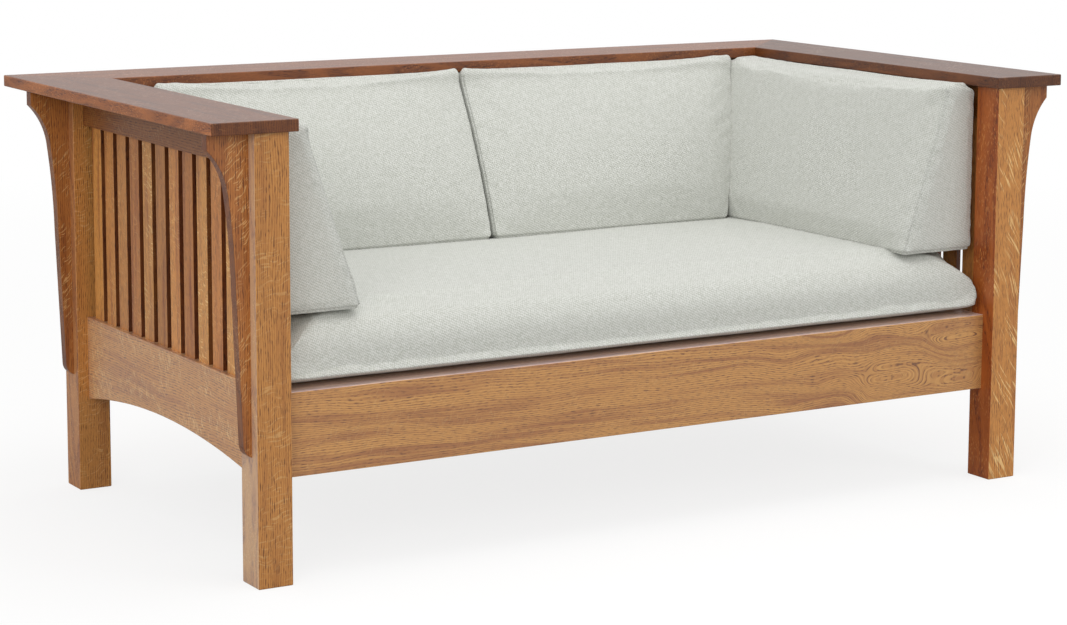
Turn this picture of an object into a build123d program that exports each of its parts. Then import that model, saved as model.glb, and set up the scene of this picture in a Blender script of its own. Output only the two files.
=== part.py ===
# Mission settle with spindled sides and back: quartersawn oak frame, flat cap rail on long corbels,
# slatted seat deck and five loose cushions.
# Frame: millimetres, +X to the right as seen from the front, +Y to the back, +Z up.
# The origin lies on the floor, under the middle of the overall box.

import os
from math import cos, hypot, radians, sin, tan

from build123d import *

# Overall frame
frame_width = 1532.0
frame_depth = 815.0
leg_side = 60.0
leg_length = 722.0
leg_arris = 1.5
leg_foot_chamfer = 1.2

# Cap rail: two arm boards and a back board, mitred at the rear corners
cap_thickness = 20.0
cap_side_overhang = 76.0
cap_back_overhang = 76.0
cap_front_overhang = 11.0
cap_inner_overhang = 12.0
cap_arris = 1.8

# Rails and their tenons
rail_thickness = 22.0
side_rail_setback = 20.0
front_rail_setback = 28.0
back_rail_setback = 20.0
upper_rail_height = 63.0
lower_rail_bottom = 167.0
side_lower_rail_height = 148.0
front_rail_height = 137.0
arch_shoulder = 8.0
arch_rise = 30.0
tenon_thickness = 10.0
tenon_length = 20.0
tenon_shoulder = 10.0
rail_arris = 1.2
joint_gap = 0.1
joint_end_gap = 1.0

# Slats of the sides and the back, let into the rails at both ends
slat_width = 40.0
slat_thickness = 10.0
slat_setback = 9.0
slat_tenon_length = 10.0
slat_arris = 0.8
side_slat_count = 12
back_slat_count = 25

# Corbels under the cap, on the legs' outer faces
corbel_thickness = 20.0
corbel_reach = 70.0
corbel_nose = 25.0
corbel_drop = 513.0
corbel_toe = 14.0
corbel_toe_round = 19.0
corbel_toe_bow = 3.6
corbel_throat_height = 69.0
corbel_throat_reach = 35.5
corbel_throat_bow = 6.3
corbel_sweep_height = 158.0
corbel_sweep_reach = 23.5
corbel_sweep_bow = 2.4
corbel_arris = 1.0

# Dowels between the legs and the cap, and the tongues in the cap's mitres
dowel_diameter = 12.0
dowel_in_leg = 26.0
dowel_in_cap = 8.0
dowel_mitre_offset = 16.0
key_thickness = 4.0
key_rise = 10.5
key_depth = 14.0
key_end_margin = 16.0

# Seat deck: two rebated bearers and the slats between them
bearer_thickness = 28.0
front_bearer_width = 85.0
rear_bearer_width = 60.0
bearer_end_gap = 0.5
deck_slat_thickness = 16.0
deck_slat_width = 110.0
deck_slat_bearing = 23.0
deck_slat_end_gap = 0.5
deck_slat_count = 6
deck_slat_arris = 2.0
glue_block_side = 25.0
glue_block_length = 80.0
glue_block_count = 5

# Screws that hold the deck slats down
screw_head_diameter = 8.0
screw_head_angle = 82.0
screw_shank_diameter = 4.0
screw_length = 25.0
screw_edge_margin = 24.0
screw_gap = 0.1

# Loose cushions, common sizes
soft_gap = 0.3
cushion_corner = 12.0
cushion_draw = 1.5
cushion_foot_inset = 12.0
cushion_foot_rise = 16.0
cushion_roll = 18.0
cushion_cap_gap = 2.0
cushion_cap_clear = 8.0
cushion_side_gap = 1.0
cushion_seam_gap = 1.0
crown_plan_share = 0.5
cushion_body_shares = (0.25, 0.5, 0.75, 1.0)
round_steps = 4

# Seat cushion: belly, straight boxing, rounded shoulders and a low dome
seat_side_gap = 3.0
seat_front_setback = 4.0
seat_belly_rise = 16.0
seat_belly_inset = 80.0
seat_boxing = 48.0
seat_shoulder_rise = 46.0
seat_shoulder_inset = 48.0
seat_dome = 5.0
seat_dome_inset_share = 0.36
seat_draw = 3.0
seat_corner = 26.0

# Side cushions, wedges that lean on the sides
side_cushion_front = 10.0
side_cushion_low_thickness = 162.0
side_cushion_top_thickness = 70.0
side_cushion_rise = 8.0
side_cushion_crown = 4.0
side_cushion_roll_depth = 26.0

# Back cushions, wedges that lean on the back
back_cushion_low_thickness = 183.0
back_cushion_top_thickness = 57.0
back_cushion_rise = 11.0
back_cushion_crown = 20.0
back_cushion_roll_depth = 12.0

# Places worked out from the sizes above
frame_shift = (cap_front_overhang - cap_back_overhang) / 2
leg_left = -frame_width / 2
leg_right = frame_width / 2
leg_front = frame_shift - frame_depth / 2
leg_back = frame_shift + frame_depth / 2
inner_left = leg_left + leg_side
inner_right = leg_right - leg_side
inner_front = leg_front + leg_side
inner_back = leg_back - leg_side
side_opening = inner_back - inner_front
front_opening = inner_right - inner_left
cap_bottom = leg_length
cap_right = leg_right + cap_side_overhang
cap_front = leg_front - cap_front_overhang
cap_back = leg_back + cap_back_overhang
cap_inner_right = inner_right - cap_inner_overhang
cap_inner_back = inner_back - cap_inner_overhang
upper_rail_bottom = leg_length - upper_rail_height
lower_rail_top = lower_rail_bottom + side_lower_rail_height
deck_top = lower_rail_bottom + front_rail_height
front_rail_inner = leg_front + front_rail_setback + rail_thickness
back_rail_inner = leg_back - back_rail_setback - rail_thickness
side_rail_middle = leg_right - side_rail_setback - rail_thickness / 2

os.makedirs("parts", exist_ok=True)


def block(x0, x1, y0, y1, z0, z1, mode=Mode.ADD):
    """A board or a mortise, given by its two corners."""
    with Locations(((x0 + x1) / 2, (y0 + y1) / 2, (z0 + z1) / 2)):
        Box(abs(x1 - x0), abs(y1 - y0), z1 - z0, mode=mode)


def save(part, name):
    """Label a finished piece and write it as a node."""
    part.label = name
    export_step(part, "parts/" + name + ".step")


# Legs: a mortise for each rail tenon and holes for the cap's dowels

def tenon_mortises(side, end):
    """Mortises of one leg; side is -1 at the left, end is -1 at the front."""
    inner_x = side * inner_right
    inner_y = inner_back if end > 0 else inner_front
    half = tenon_thickness / 2 + joint_gap
    depth = tenon_length + joint_end_gap
    lift = tenon_shoulder - joint_gap
    side_x = side * side_rail_middle
    side_heights = [(upper_rail_bottom, leg_length), (lower_rail_bottom, lower_rail_top)]
    for low, high in side_heights:
        block(side_x - half, side_x + half, inner_y, inner_y + end * depth, low + lift, high - lift,
              mode=Mode.SUBTRACT)
    if end < 0:
        cross_y = front_rail_inner - rail_thickness / 2
        cross_heights = [(lower_rail_bottom, deck_top)]
    else:
        cross_y = back_rail_inner + rail_thickness / 2
        cross_heights = side_heights
    for low, high in cross_heights:
        block(inner_x, inner_x + side * depth, cross_y - half, cross_y + half, low + lift, high - lift,
              mode=Mode.SUBTRACT)


def dowel_places(side, end):
    """Where the dowels of one leg stand; at the back they keep off the mitre, one in each cap board."""
    x = side * (frame_width - leg_side) / 2
    y = frame_shift + end * (frame_depth - leg_side) / 2
    if end < 0:
        return [(x, y)]
    return [(x + side * dowel_mitre_offset, y), (x, y + dowel_mitre_offset)]


sides = {"left": -1, "right": 1}
ends = {"front": -1, "rear": 1}

for side_name, side in sides.items():
    for end_name, end in ends.items():
        with BuildPart() as leg:
            with BuildSketch():
                with Locations((side * (frame_width - leg_side) / 2,
                                frame_shift + end * (frame_depth - leg_side) / 2)):
                    Rectangle(leg_side, leg_side)
            extrude(amount=leg_length)
            fillet(leg.edges().filter_by(Axis.Z), leg_arris)
            chamfer(leg.faces().sort_by(Axis.Z)[0].edges(), leg_foot_chamfer)
            tenon_mortises(side, end)
            with BuildSketch(Plane.XY.offset(leg_length)):
                with Locations(*dowel_places(side, end)):
                    Circle(dowel_diameter / 2 + joint_gap)
            extrude(amount=-dowel_in_leg - joint_end_gap, mode=Mode.SUBTRACT)
        save(leg.part, end_name + "_" + side_name + "_leg")


# Cap rail: boards cut to a mitre, each holding half of the tongue that crosses it

def mitre_plane(side):
    """Plane under the tongue of one mitre, its X along the joint."""
    outer = Vector(side * cap_right, cap_back)
    inner = Vector(side * cap_inner_right, cap_inner_back)
    middle = (outer + inner) / 2 + Vector(0, 0, cap_bottom + key_rise)
    return Plane(origin=middle, x_dir=(outer - inner).normalized(), z_dir=(0, 0, 1))


key_length = hypot(cap_right - cap_inner_right, cap_back - cap_inner_back) - 2 * key_end_margin


def cap_board(corners, mitred_sides, dowels):
    """A cap board with its outline, eased edges, tongue slots and dowel holes."""
    with BuildPart() as board:
        with BuildSketch(Plane.XY.offset(cap_bottom)):
            with BuildLine():
                Polyline(*corners, close=True)
            make_face()
        extrude(amount=cap_thickness)
        joint_faces = board.faces().filter_by(Axis.Z, reverse=True).filter_by(Axis.X, reverse=True)
        joint_edges = joint_faces.filter_by(Axis.Y, reverse=True).edges()
        fillet([edge for edge in board.edges() if edge not in joint_edges], cap_arris)
        for side in mitred_sides:
            with BuildSketch(mitre_plane(side).offset(-joint_gap)):
                Rectangle(key_length + 2 * joint_gap, 2 * (key_depth + joint_end_gap))
            extrude(amount=key_thickness + 2 * joint_gap, mode=Mode.SUBTRACT)
        with BuildSketch(Plane.XY.offset(cap_bottom)):
            with Locations(*dowels):
                Circle(dowel_diameter / 2 + joint_gap)
        extrude(amount=dowel_in_cap + joint_end_gap, mode=Mode.SUBTRACT)
    return board.part


for side_name, side in sides.items():
    arm_corners = [(side * cap_right, cap_front), (side * cap_inner_right, cap_front),
                   (side * cap_inner_right, cap_inner_back), (side * cap_right, cap_back)]
    arm_dowels = [dowel_places(side, -1)[0], dowel_places(side, 1)[0]]
    save(cap_board(arm_corners, [side], arm_dowels), side_name + "_arm_cap")

back_corners = [(-cap_right, cap_back), (-cap_inner_right, cap_inner_back),
                (cap_inner_right, cap_inner_back), (cap_right, cap_back)]
back_dowels = [dowel_places(-1, 1)[1], dowel_places(1, 1)[1]]
save(cap_board(back_corners, [-1, 1], back_dowels), "back_cap")

with BuildPart() as mitre_keys:
    for side in sides.values():
        with BuildSketch(mitre_plane(side)):
            Rectangle(key_length, 2 * key_depth)
        extrude(amount=key_thickness)
save(mitre_keys.part, "mitre_keys")

with BuildPart() as cap_dowels:
    with BuildSketch(Plane.XY.offset(leg_length - dowel_in_leg)):
        for side in sides.values():
            for end in ends.values():
                with Locations(*dowel_places(side, end)):
                    Circle(dowel_diameter / 2)
    extrude(amount=dowel_in_leg + dowel_in_cap)
save(cap_dowels.part, "cap_dowels")


# Corbels: a nose under the cap, a round throat, then a long slope down the leg to a rounded toe

def corbel(side, end):
    """One corbel on the outer face of a leg."""
    middle_y = frame_shift + end * (frame_depth - leg_side) / 2
    profile_plane = Plane(origin=(side * leg_right, middle_y, leg_length), x_dir=(side, 0, 0),
                          z_dir=(0, -side, 0))
    nose_low = (corbel_reach, -corbel_nose)
    throat_low = (corbel_throat_reach, nose_low[1] - corbel_throat_height)
    sweep_low = (corbel_sweep_reach, throat_low[1] - corbel_sweep_height)
    toe_high = (corbel_toe, corbel_toe_round - corbel_drop)
    toe_low = (0, -corbel_drop)
    with BuildPart() as bracket:
        with BuildSketch(profile_plane):
            with BuildLine():
                Line((0, 0), (corbel_reach, 0))
                Line((corbel_reach, 0), nose_low)
                SagittaArc(nose_low, throat_low, -corbel_throat_bow)
                SagittaArc(throat_low, sweep_low, -corbel_sweep_bow)
                Line(sweep_low, toe_high)
                SagittaArc(toe_high, toe_low, corbel_toe_bow)
                Line(toe_low, (0, 0))
            make_face()
        extrude(amount=corbel_thickness / 2, both=True)
        broad_faces = bracket.faces().filter_by(Axis.Y)
        outer_edges = [edge for edge in broad_faces.edges()
                       if abs(edge.center().X) > leg_right + corbel_arris
                       and edge.center().Z < leg_length - corbel_arris]
        fillet(outer_edges, corbel_arris)
    return bracket.part


for side_name, side in sides.items():
    for end_name, end in ends.items():
        save(corbel(side, end), end_name + "_" + side_name + "_corbel")


# Rails: boards between the legs with a tenon at each end and mortises for the slats

def slat_middles(opening, count):
    """Places of evenly spaced slats along an opening, from its middle."""
    pitch = (opening + slat_width) / (count + 1)
    return [(index - (count - 1) / 2) * pitch for index in range(count)]


def rail(plane, opening, height, rise=0, slats=(), slat_edge=0):
    """A rail in elevation on a plane: X along the rail, Y up from its lower edge, Z to the outside.

    rise is the height of the arch under it, slats are the slat places along it, and slat_edge says
    whether the slats enter at the top (1) or from below (-1).
    """
    half = opening / 2
    foot = half - arch_shoulder
    with BuildPart() as board:
        with BuildSketch(plane):
            with BuildLine():
                Polyline((-half, 0), (-half, height), (half, height), (half, 0))
                if rise:
                    Line((half, 0), (foot, 0))
                    ThreePointArc((foot, 0), (0, rise), (-foot, 0))
                    Line((-foot, 0), (-half, 0))
                else:
                    Line((half, 0), (-half, 0))
            make_face()
        extrude(amount=rail_thickness / 2, both=True)
        broad_faces = board.faces().filter_by(Axis(plane.origin, plane.z_dir))
        fillet(broad_faces.edges().filter_by(Axis.Z, reverse=True), rail_arris)
        with BuildSketch(plane):
            with Locations((-half - tenon_length / 2, height / 2), (half + tenon_length / 2, height / 2)):
                Rectangle(tenon_length, height - 2 * tenon_shoulder)
        extrude(amount=tenon_thickness / 2, both=True)
        if slats:
            depth = slat_tenon_length + joint_end_gap
            edge_y = height - depth / 2 if slat_edge > 0 else depth / 2
            with BuildSketch(plane.offset(rail_thickness / 2 - slat_setback + joint_gap)):
                with Locations(*[(place, edge_y) for place in slats]):
                    Rectangle(slat_width + 2 * joint_gap, depth)
            extrude(amount=-slat_thickness - 2 * joint_gap, mode=Mode.SUBTRACT)
    return board.part


def side_plane(side, bottom):
    """Elevation plane of a side rail, its Z to the outside of the settle."""
    return Plane(origin=(side * side_rail_middle, (inner_front + inner_back) / 2, bottom),
                 x_dir=(0, side, 0), z_dir=(side, 0, 0))


def back_plane(bottom):
    """Elevation plane of a back rail, its Z to the back."""
    return Plane(origin=(0, back_rail_inner + rail_thickness / 2, bottom), x_dir=(-1, 0, 0), z_dir=(0, 1, 0))


front_plane = Plane(origin=(0, front_rail_inner - rail_thickness / 2, lower_rail_bottom), x_dir=(1, 0, 0),
                    z_dir=(0, -1, 0))

side_slats = slat_middles(side_opening, side_slat_count)
back_slats = slat_middles(front_opening, back_slat_count)

for side_name, side in sides.items():
    save(rail(side_plane(side, upper_rail_bottom), side_opening, upper_rail_height, slats=side_slats,
              slat_edge=-1), side_name + "_side_upper_rail")
    save(rail(side_plane(side, lower_rail_bottom), side_opening, side_lower_rail_height, rise=arch_rise,
              slats=side_slats, slat_edge=1), side_name + "_side_lower_rail")
save(rail(back_plane(upper_rail_bottom), front_opening, upper_rail_height, slats=back_slats, slat_edge=-1),
     "back_upper_rail")
save(rail(back_plane(lower_rail_bottom), front_opening, side_lower_rail_height, slats=back_slats,
          slat_edge=1), "back_lower_rail")
save(rail(front_plane, front_opening, front_rail_height), "front_rail")


# Slats

def slat_boards(plane, places):
    """Upright slats on an elevation plane whose Y is zero at the lower rail's top."""
    with BuildPart() as boards:
        with BuildSketch(plane.offset(rail_thickness / 2 - slat_setback)):
            with Locations(*[(place, (upper_rail_bottom - lower_rail_top) / 2) for place in places]):
                Rectangle(slat_width, upper_rail_bottom - lower_rail_top + 2 * slat_tenon_length)
        extrude(amount=-slat_thickness)
        fillet(boards.edges().filter_by(Axis.Z), slat_arris)
    return boards.part


for side_name, side in sides.items():
    for number, place in enumerate(side_slats, start=1):
        name = "%s_slat_%02d" % (side_name, number)
        save(slat_boards(side_plane(side, lower_rail_top), [side * place]), name)
save(slat_boards(back_plane(lower_rail_top), back_slats), "back_slats")


# Seat deck

front_bearer_back = front_rail_inner + front_bearer_width
rear_bearer_front = back_rail_inner - rear_bearer_width
deck_front = front_bearer_back - deck_slat_bearing
deck_back = rear_bearer_front + deck_slat_bearing
bearer_half = front_opening / 2 - bearer_end_gap
bearer_bottom = deck_top - bearer_thickness
deck_slat_bottom = deck_top - deck_slat_thickness
deck_pitch = front_opening / deck_slat_count
deck_middles = [(index - (deck_slat_count - 1) / 2) * deck_pitch for index in range(deck_slat_count)]
screw_spread = deck_slat_width / 2 - screw_edge_margin
screw_rows = (deck_front + deck_slat_bearing / 2, deck_back - deck_slat_bearing / 2)
screw_places = [(middle + offset, row) for middle in deck_middles for offset in (-screw_spread, screw_spread)
                for row in screw_rows]


def screw_holes(places):
    """Countersunk clearance holes from the top of the deck."""
    with Locations(*[(x, y, deck_top) for x, y in places]):
        CounterSinkHole(screw_shank_diameter / 2 + screw_gap, screw_head_diameter / 2 + screw_gap,
                        depth=screw_length + screw_gap, counter_sink_angle=screw_head_angle)


with BuildPart() as front_bearer:
    block(-bearer_half, bearer_half, front_rail_inner, front_bearer_back, bearer_bottom, deck_top)
    block(-bearer_half, bearer_half, deck_front, front_bearer_back, deck_slat_bottom, deck_top,
          mode=Mode.SUBTRACT)
    screw_holes([place for place in screw_places if place[1] == screw_rows[0]])
save(front_bearer.part, "front_bearer")

with BuildPart() as rear_bearer:
    block(-bearer_half, bearer_half, rear_bearer_front, back_rail_inner, bearer_bottom, deck_top)
    block(-bearer_half, bearer_half, rear_bearer_front, deck_back, deck_slat_bottom, deck_top,
          mode=Mode.SUBTRACT)
    screw_holes([place for place in screw_places if place[1] == screw_rows[1]])
save(rear_bearer.part, "rear_bearer")

for number, middle in enumerate(deck_middles, start=1):
    with BuildPart() as deck_slat:
        block(middle - deck_slat_width / 2, middle + deck_slat_width / 2, deck_front + deck_slat_end_gap,
              deck_back - deck_slat_end_gap, deck_slat_bottom, deck_top)
        fillet(deck_slat.edges().filter_by(Axis.Y), deck_slat_arris)
        screw_holes([place for place in screw_places if abs(place[0] - middle) < deck_slat_width / 2])
    save(deck_slat.part, "deck_slat_%d" % number)

screw_head_depth = (screw_head_diameter - screw_shank_diameter) / 2 / tan(radians(screw_head_angle / 2))
with BuildPart() as deck_screws:
    top_down = (Align.CENTER, Align.CENTER, Align.MAX)
    with Locations(*[(x, y, deck_top) for x, y in screw_places]):
        Cylinder(screw_shank_diameter / 2, screw_length, align=top_down)
        Cone(screw_shank_diameter / 2, screw_head_diameter / 2, screw_head_depth, align=top_down)
save(deck_screws.part, "deck_screws")

with BuildPart() as glue_blocks:
    block_pitch = front_opening / glue_block_count
    for index in range(glue_block_count):
        middle = (index - (glue_block_count - 1) / 2) * block_pitch
        low = middle - glue_block_length / 2
        high = middle + glue_block_length / 2
        block(low, high, front_rail_inner, front_rail_inner + glue_block_side,
              bearer_bottom - glue_block_side, bearer_bottom)
        block(low, high, back_rail_inner - glue_block_side, back_rail_inner,
              bearer_bottom - glue_block_side, bearer_bottom)
save(glue_blocks.part, "glue_blocks")


# Loose cushions: each is a stack of plan outlines

def side_arc(start, end, bow_x, bow_y):
    """One side of an outline, bowed at its middle by a small vector."""
    middle = ((start[0] + end[0]) / 2 + bow_x, (start[1] + end[1]) / 2 + bow_y)
    ThreePointArc(start, middle, end)


def plan_outline(x0, x1, y0, y1, corner, bows):
    """A plan outline with round corners; bows are how far the sides at x0, x1, y0 and y1 swell out."""
    near = corner * (1 - cos(radians(45)))
    side_arc((x0 + corner, y0), (x1 - corner, y0), 0, -bows[2])
    ThreePointArc((x1 - corner, y0), (x1 - near, y0 + near), (x1, y0 + corner))
    side_arc((x1, y0 + corner), (x1, y1 - corner), bows[1], 0)
    ThreePointArc((x1, y1 - corner), (x1 - near, y1 - near), (x1 - corner, y1))
    side_arc((x1 - corner, y1), (x0 + corner, y1), 0, bows[3])
    ThreePointArc((x0 + corner, y1), (x0 + near, y1 - near), (x0, y1 - corner))
    side_arc((x0, y1 - corner), (x0, y0 + corner), -bows[0], 0)
    ThreePointArc((x0, y0 + corner), (x0 + near, y0 + near), (x0 + corner, y0))


def cushion(levels):
    """A closed cushion through a stack of outlines, each a height and the sizes of its plan."""
    with BuildPart() as body:
        for height, *plan in levels:
            with BuildSketch(Plane.XY.offset(height)):
                with BuildLine():
                    plan_outline(*plan)
                make_face()
        loft(ruled=True)
    return body.part


quarter_turns = [radians(90 * step / round_steps) for step in range(1, round_steps + 1)]

seat_bottom = deck_top + soft_gap
seat_shoulder = seat_bottom + seat_belly_rise + seat_boxing
seat_top = seat_shoulder + seat_shoulder_rise + seat_dome
seat_front = leg_front + front_rail_setback + seat_front_setback
seat_back = back_rail_inner - soft_gap
seat_half = front_opening / 2 - seat_side_gap
seat_dome_inset = seat_shoulder_inset + seat_dome_inset_share * (seat_back - seat_front)

seat_insets = [(seat_bottom, seat_belly_inset),
               (seat_bottom + seat_belly_rise / 4, seat_belly_inset / 3),
               (seat_bottom + seat_belly_rise, 0),
               (seat_shoulder, 0)]
for turn in quarter_turns:
    shoulder_inset = seat_shoulder_inset * (1 - cos(turn))
    seat_insets.append((seat_shoulder + seat_shoulder_rise * sin(turn), shoulder_inset))
seat_insets.append((seat_top, seat_dome_inset))
seat_levels = [(height, inset - seat_half, seat_half - inset, seat_front + inset, seat_back - inset,
                seat_corner, [-seat_draw] * 4) for height, inset in seat_insets]
save(cushion(seat_levels), "seat_cushion")

wedge_bottom = seat_top + soft_gap
wedge_body = wedge_bottom + cushion_foot_rise
roll_start = cap_bottom - cushion_roll
foot_levels = [(wedge_bottom, cushion_foot_inset),
               (wedge_bottom + cushion_foot_rise / 4, cushion_foot_inset / 3),
               (wedge_body, 0)]
body_levels = [(wedge_body + share * (roll_start - wedge_body), 0) for share in cushion_body_shares]


def rise_share(height):
    """How far up a wedge a height is: 0 at its bottom, 1 where its top rolls over and above."""
    return min(1, (height - wedge_bottom) / (roll_start - wedge_bottom))


def crown_at(height):
    """Share of the crown at a height: none at the foot and where the top rolls over, all half way up."""
    return 4 * rise_share(height) * (1 - rise_share(height))


def thickness_at(height, low_thickness, top_thickness):
    """Thickness of a wedge at a height, without its crown."""
    return low_thickness + (top_thickness - low_thickness) * rise_share(height)


def cap_inset_at(height, depth):
    """How far the face under the cap has drawn in, all of it well below the cap's underside."""
    share = (height - roll_start) / (cushion_roll - cushion_cap_clear)
    return depth * max(0, min(1, share))


def wedge_levels(top, roll_depth):
    """Heights and insets of a wedge; the roll insets the sloped face more than the ends."""
    levels = [(height, inset, inset) for height, inset in foot_levels + body_levels]
    for turn in quarter_turns:
        rolled = 1 - cos(turn)
        height = roll_start + (top - roll_start) * sin(turn)
        levels.append((height, roll_depth * rolled, cushion_corner * rolled))
    return levels


side_plane_x = inner_right - soft_gap
side_front = inner_front + side_cushion_front
side_cap_depth = cap_inner_overhang + cushion_cap_gap - soft_gap
back_cap_depth = back_rail_inner - soft_gap - cap_inner_back + cushion_cap_gap


def side_slope_x(height):
    """The right side cushion's sloped face at a height, without its crown."""
    return side_plane_x - thickness_at(height, side_cushion_low_thickness, side_cushion_top_thickness)


def hidden_inset(height, end_inset, depth):
    """How far a face that leans on the frame lies back: at its foot, and again under the cap."""
    return end_inset * (height < roll_start) + cap_inset_at(height, depth)


def side_cushion_levels(side):
    """A wedge between the seat's front corner and the back, its flat face against the legs' plane."""
    levels = []
    for height, inset, end_inset in wedge_levels(cap_bottom + side_cushion_rise, side_cushion_roll_depth):
        swell = crown_plan_share * side_cushion_crown * crown_at(height)
        inner = side_slope_x(height) - swell + cushion_draw + inset
        outer = side_plane_x - hidden_inset(height, end_inset, side_cap_depth)
        rear = seat_back - hidden_inset(height, end_inset, back_cap_depth)
        x0, x1 = sorted((side * inner, side * outer))
        bows = [-cushion_draw] * 4
        bows[0 if side > 0 else 1] = swell + cushion_draw
        levels.append((height, x0, x1, side_front + end_inset, rear, cushion_corner, bows))
    return levels


def back_cushion_levels(side):
    """A wedge from the middle of the settle to the side cushion, leaning on the back."""
    levels = []
    for height, inset, end_inset in wedge_levels(cap_bottom + back_cushion_rise, back_cushion_roll_depth):
        swell = crown_plan_share * back_cushion_crown * crown_at(height)
        thickness = thickness_at(height, back_cushion_low_thickness, back_cushion_top_thickness)
        front = seat_back - thickness - swell + inset
        rear = seat_back - hidden_inset(height, end_inset, back_cap_depth)
        middle_x = cushion_seam_gap / 2 + end_inset
        end_x = side_slope_x(height) - side_cushion_crown - cushion_side_gap - end_inset
        x0, x1 = sorted((side * middle_x, side * end_x))
        bows = [-cushion_draw, -cushion_draw, swell + cushion_draw, -cushion_draw]
        corner = min(cushion_corner, (rear - front) / 3)
        levels.append((height, x0, x1, front, rear, corner, bows))
    return levels


for side_name, side in sides.items():
    save(cushion(side_cushion_levels(side)), side_name + "_side_cushion")
    save(cushion(back_cushion_levels(side)), side_name + "_back_cushion")
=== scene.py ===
"""The looks of a mission settle: a stained oak frame, its seat deck and five loose cushions.

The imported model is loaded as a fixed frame. The oak pieces keep their shape and get their finish here, and
the cushions are sewn and filled here, around the places that the frame holds for them.
"""

import logging
import math
import random
from dataclasses import dataclass, field
from enum import Enum

import bmesh
import bpy
import numpy as np
from mathutils import Matrix, Vector, kdtree, noise


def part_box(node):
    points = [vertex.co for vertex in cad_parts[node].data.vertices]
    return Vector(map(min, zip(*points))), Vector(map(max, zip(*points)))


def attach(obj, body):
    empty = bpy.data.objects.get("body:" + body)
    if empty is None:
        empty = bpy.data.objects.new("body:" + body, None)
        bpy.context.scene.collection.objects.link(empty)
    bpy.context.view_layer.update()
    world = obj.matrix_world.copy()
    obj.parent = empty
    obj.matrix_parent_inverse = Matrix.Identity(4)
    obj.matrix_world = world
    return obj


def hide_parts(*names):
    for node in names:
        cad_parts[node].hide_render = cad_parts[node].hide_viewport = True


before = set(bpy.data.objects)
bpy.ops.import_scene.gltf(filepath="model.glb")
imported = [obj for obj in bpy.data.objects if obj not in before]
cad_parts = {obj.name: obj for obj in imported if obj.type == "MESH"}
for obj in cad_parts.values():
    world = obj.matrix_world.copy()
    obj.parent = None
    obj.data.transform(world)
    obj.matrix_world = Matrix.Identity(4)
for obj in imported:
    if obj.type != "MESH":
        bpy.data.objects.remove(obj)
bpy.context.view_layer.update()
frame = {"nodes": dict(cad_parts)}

log = logging.getLogger("settle")

MM = 0.001

Socket = bpy.types.NodeSocket
Tree = bpy.types.NodeTree
Colour = tuple[float, float, float, float]


class Axis(Enum):
    """A direction of the settle: across its width, through its depth, or up."""

    WIDTH = 0
    DEPTH = 1
    HEIGHT = 2


class Hand(Enum):
    """One end of the settle, as the sign of its place across the width."""

    LEFT = -1
    RIGHT = 1


def linear(colour: str) -> Colour:
    """Turn an sRGB hex colour into the linear values that a shader takes.

    Args:
        colour: The colour as a hash and six hex digits.

    Returns:
        Red, green, blue and a full alpha, all linear.
    """
    parts = [int(colour[place:place + 2], 16) / 255 for place in (1, 3, 5)]
    values = [part / 12.92 if part <= 0.04045 else ((part + 0.055) / 1.055) ** 2.4 for part in parts]
    return values[0], values[1], values[2], 1.0


def shaded(colour: str, tone: float, redder: float = 0.0) -> Colour:
    """Make a hex colour lighter or darker by a share of its light, and redder.

    Args:
        colour: The colour as a hash and six hex digits.
        tone: How much more light it sends back, 0 for none and -0.1 for a tenth less.
        redder: The share of its green that it loses, and half as much again of its blue.

    Returns:
        The linear colour.
    """
    red, green, blue, alpha = linear(colour)
    level = 1 + tone
    return red * level, green * level * (1 - redder), blue * level * (1 - 1.5 * redder), alpha


def add_node(tree: Tree, kind: str, links: dict | None = None, **settings) -> bpy.types.NodeOutputs:
    """Add a shader node, with its settings, its values and what feeds it.

    Args:
        tree: The node tree of a material, a lamp or the world.
        kind: The node's type, without the words ShaderNode at its start.
        links: For each input, by name or number, a value or the output socket that feeds it.
        **settings: The node's own properties.

    Returns:
        The new node's outputs.
    """
    made = tree.nodes.new("ShaderNode" + kind)
    for name, value in settings.items():
        setattr(made, name, value)
    for name, value in (links or {}).items():
        if isinstance(value, Socket):
            tree.links.new(value, made.inputs[name])
        else:
            made.inputs[name].default_value = value
    return made.outputs


def new_material(name: str) -> tuple[bpy.types.Material, Tree]:
    """Make an empty node material.

    Args:
        name: What the material is and how it was made.

    Returns:
        The material and its cleared node tree.
    """
    material = bpy.data.materials.new(name)
    material.use_nodes = True
    material.node_tree.nodes.clear()
    return material, material.node_tree


@dataclass(frozen=True)
class OakStain:
    """What stain and topcoat do to oak: the colours of its parts and how it shines."""

    name: str
    latewood: str
    earlywood: str
    pores: str
    flecks: str
    streaks: str
    roughness: float
    coat: float
    coat_roughness: float


# The frame's oak: a golden brown stain under a satin lacquer. The stain lies dark in the open earlywood
# pores and slides off the hard rays, so fine dark dashes follow the grain and pale flecks cross it.
FRAME_STAIN = OakStain("lacquered quartersawn oak", "#c68a47", "#b07338", "#6a3d1e", "#e0b87a", "#8f5229",
                       0.45, 0.32, 0.25)

# The caps' oak: the same wood under a dark walnut stain, rubbed to a satin sheen that turns grey towards
# the light.
CAP_STAIN = OakStain("dark stained satin oak", "#76431f", "#623416", "#38190b", "#8f5a30", "#4c2610",
                     0.42, 0.15, 0.3)

# The deck's boards: sawn and planed oak with no finish, so it is pale, dry and dull.
DECK_STAIN = OakStain("planed bare oak", "#c7a474", "#b58f5f", "#8d6c45", "#d3b486", "#a9835a",
                      0.62, 0.0, 0.5)

# A painted sheen: a pale, faintly pink colour mixed over the stain, low on the legs and rails and on the
# front rail's top, where it stands in for the white room reflected at a glancing angle.
PAINTED_SHEEN_COLOUR = "#dccbd0"


@dataclass(frozen=True)
class Edge:
    """How faces along one axis differ: stain on some boards, painted light, shade or sheen on others."""

    facing: Axis
    tone: float
    red: float
    painted_sheen: float = 0.0


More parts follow.
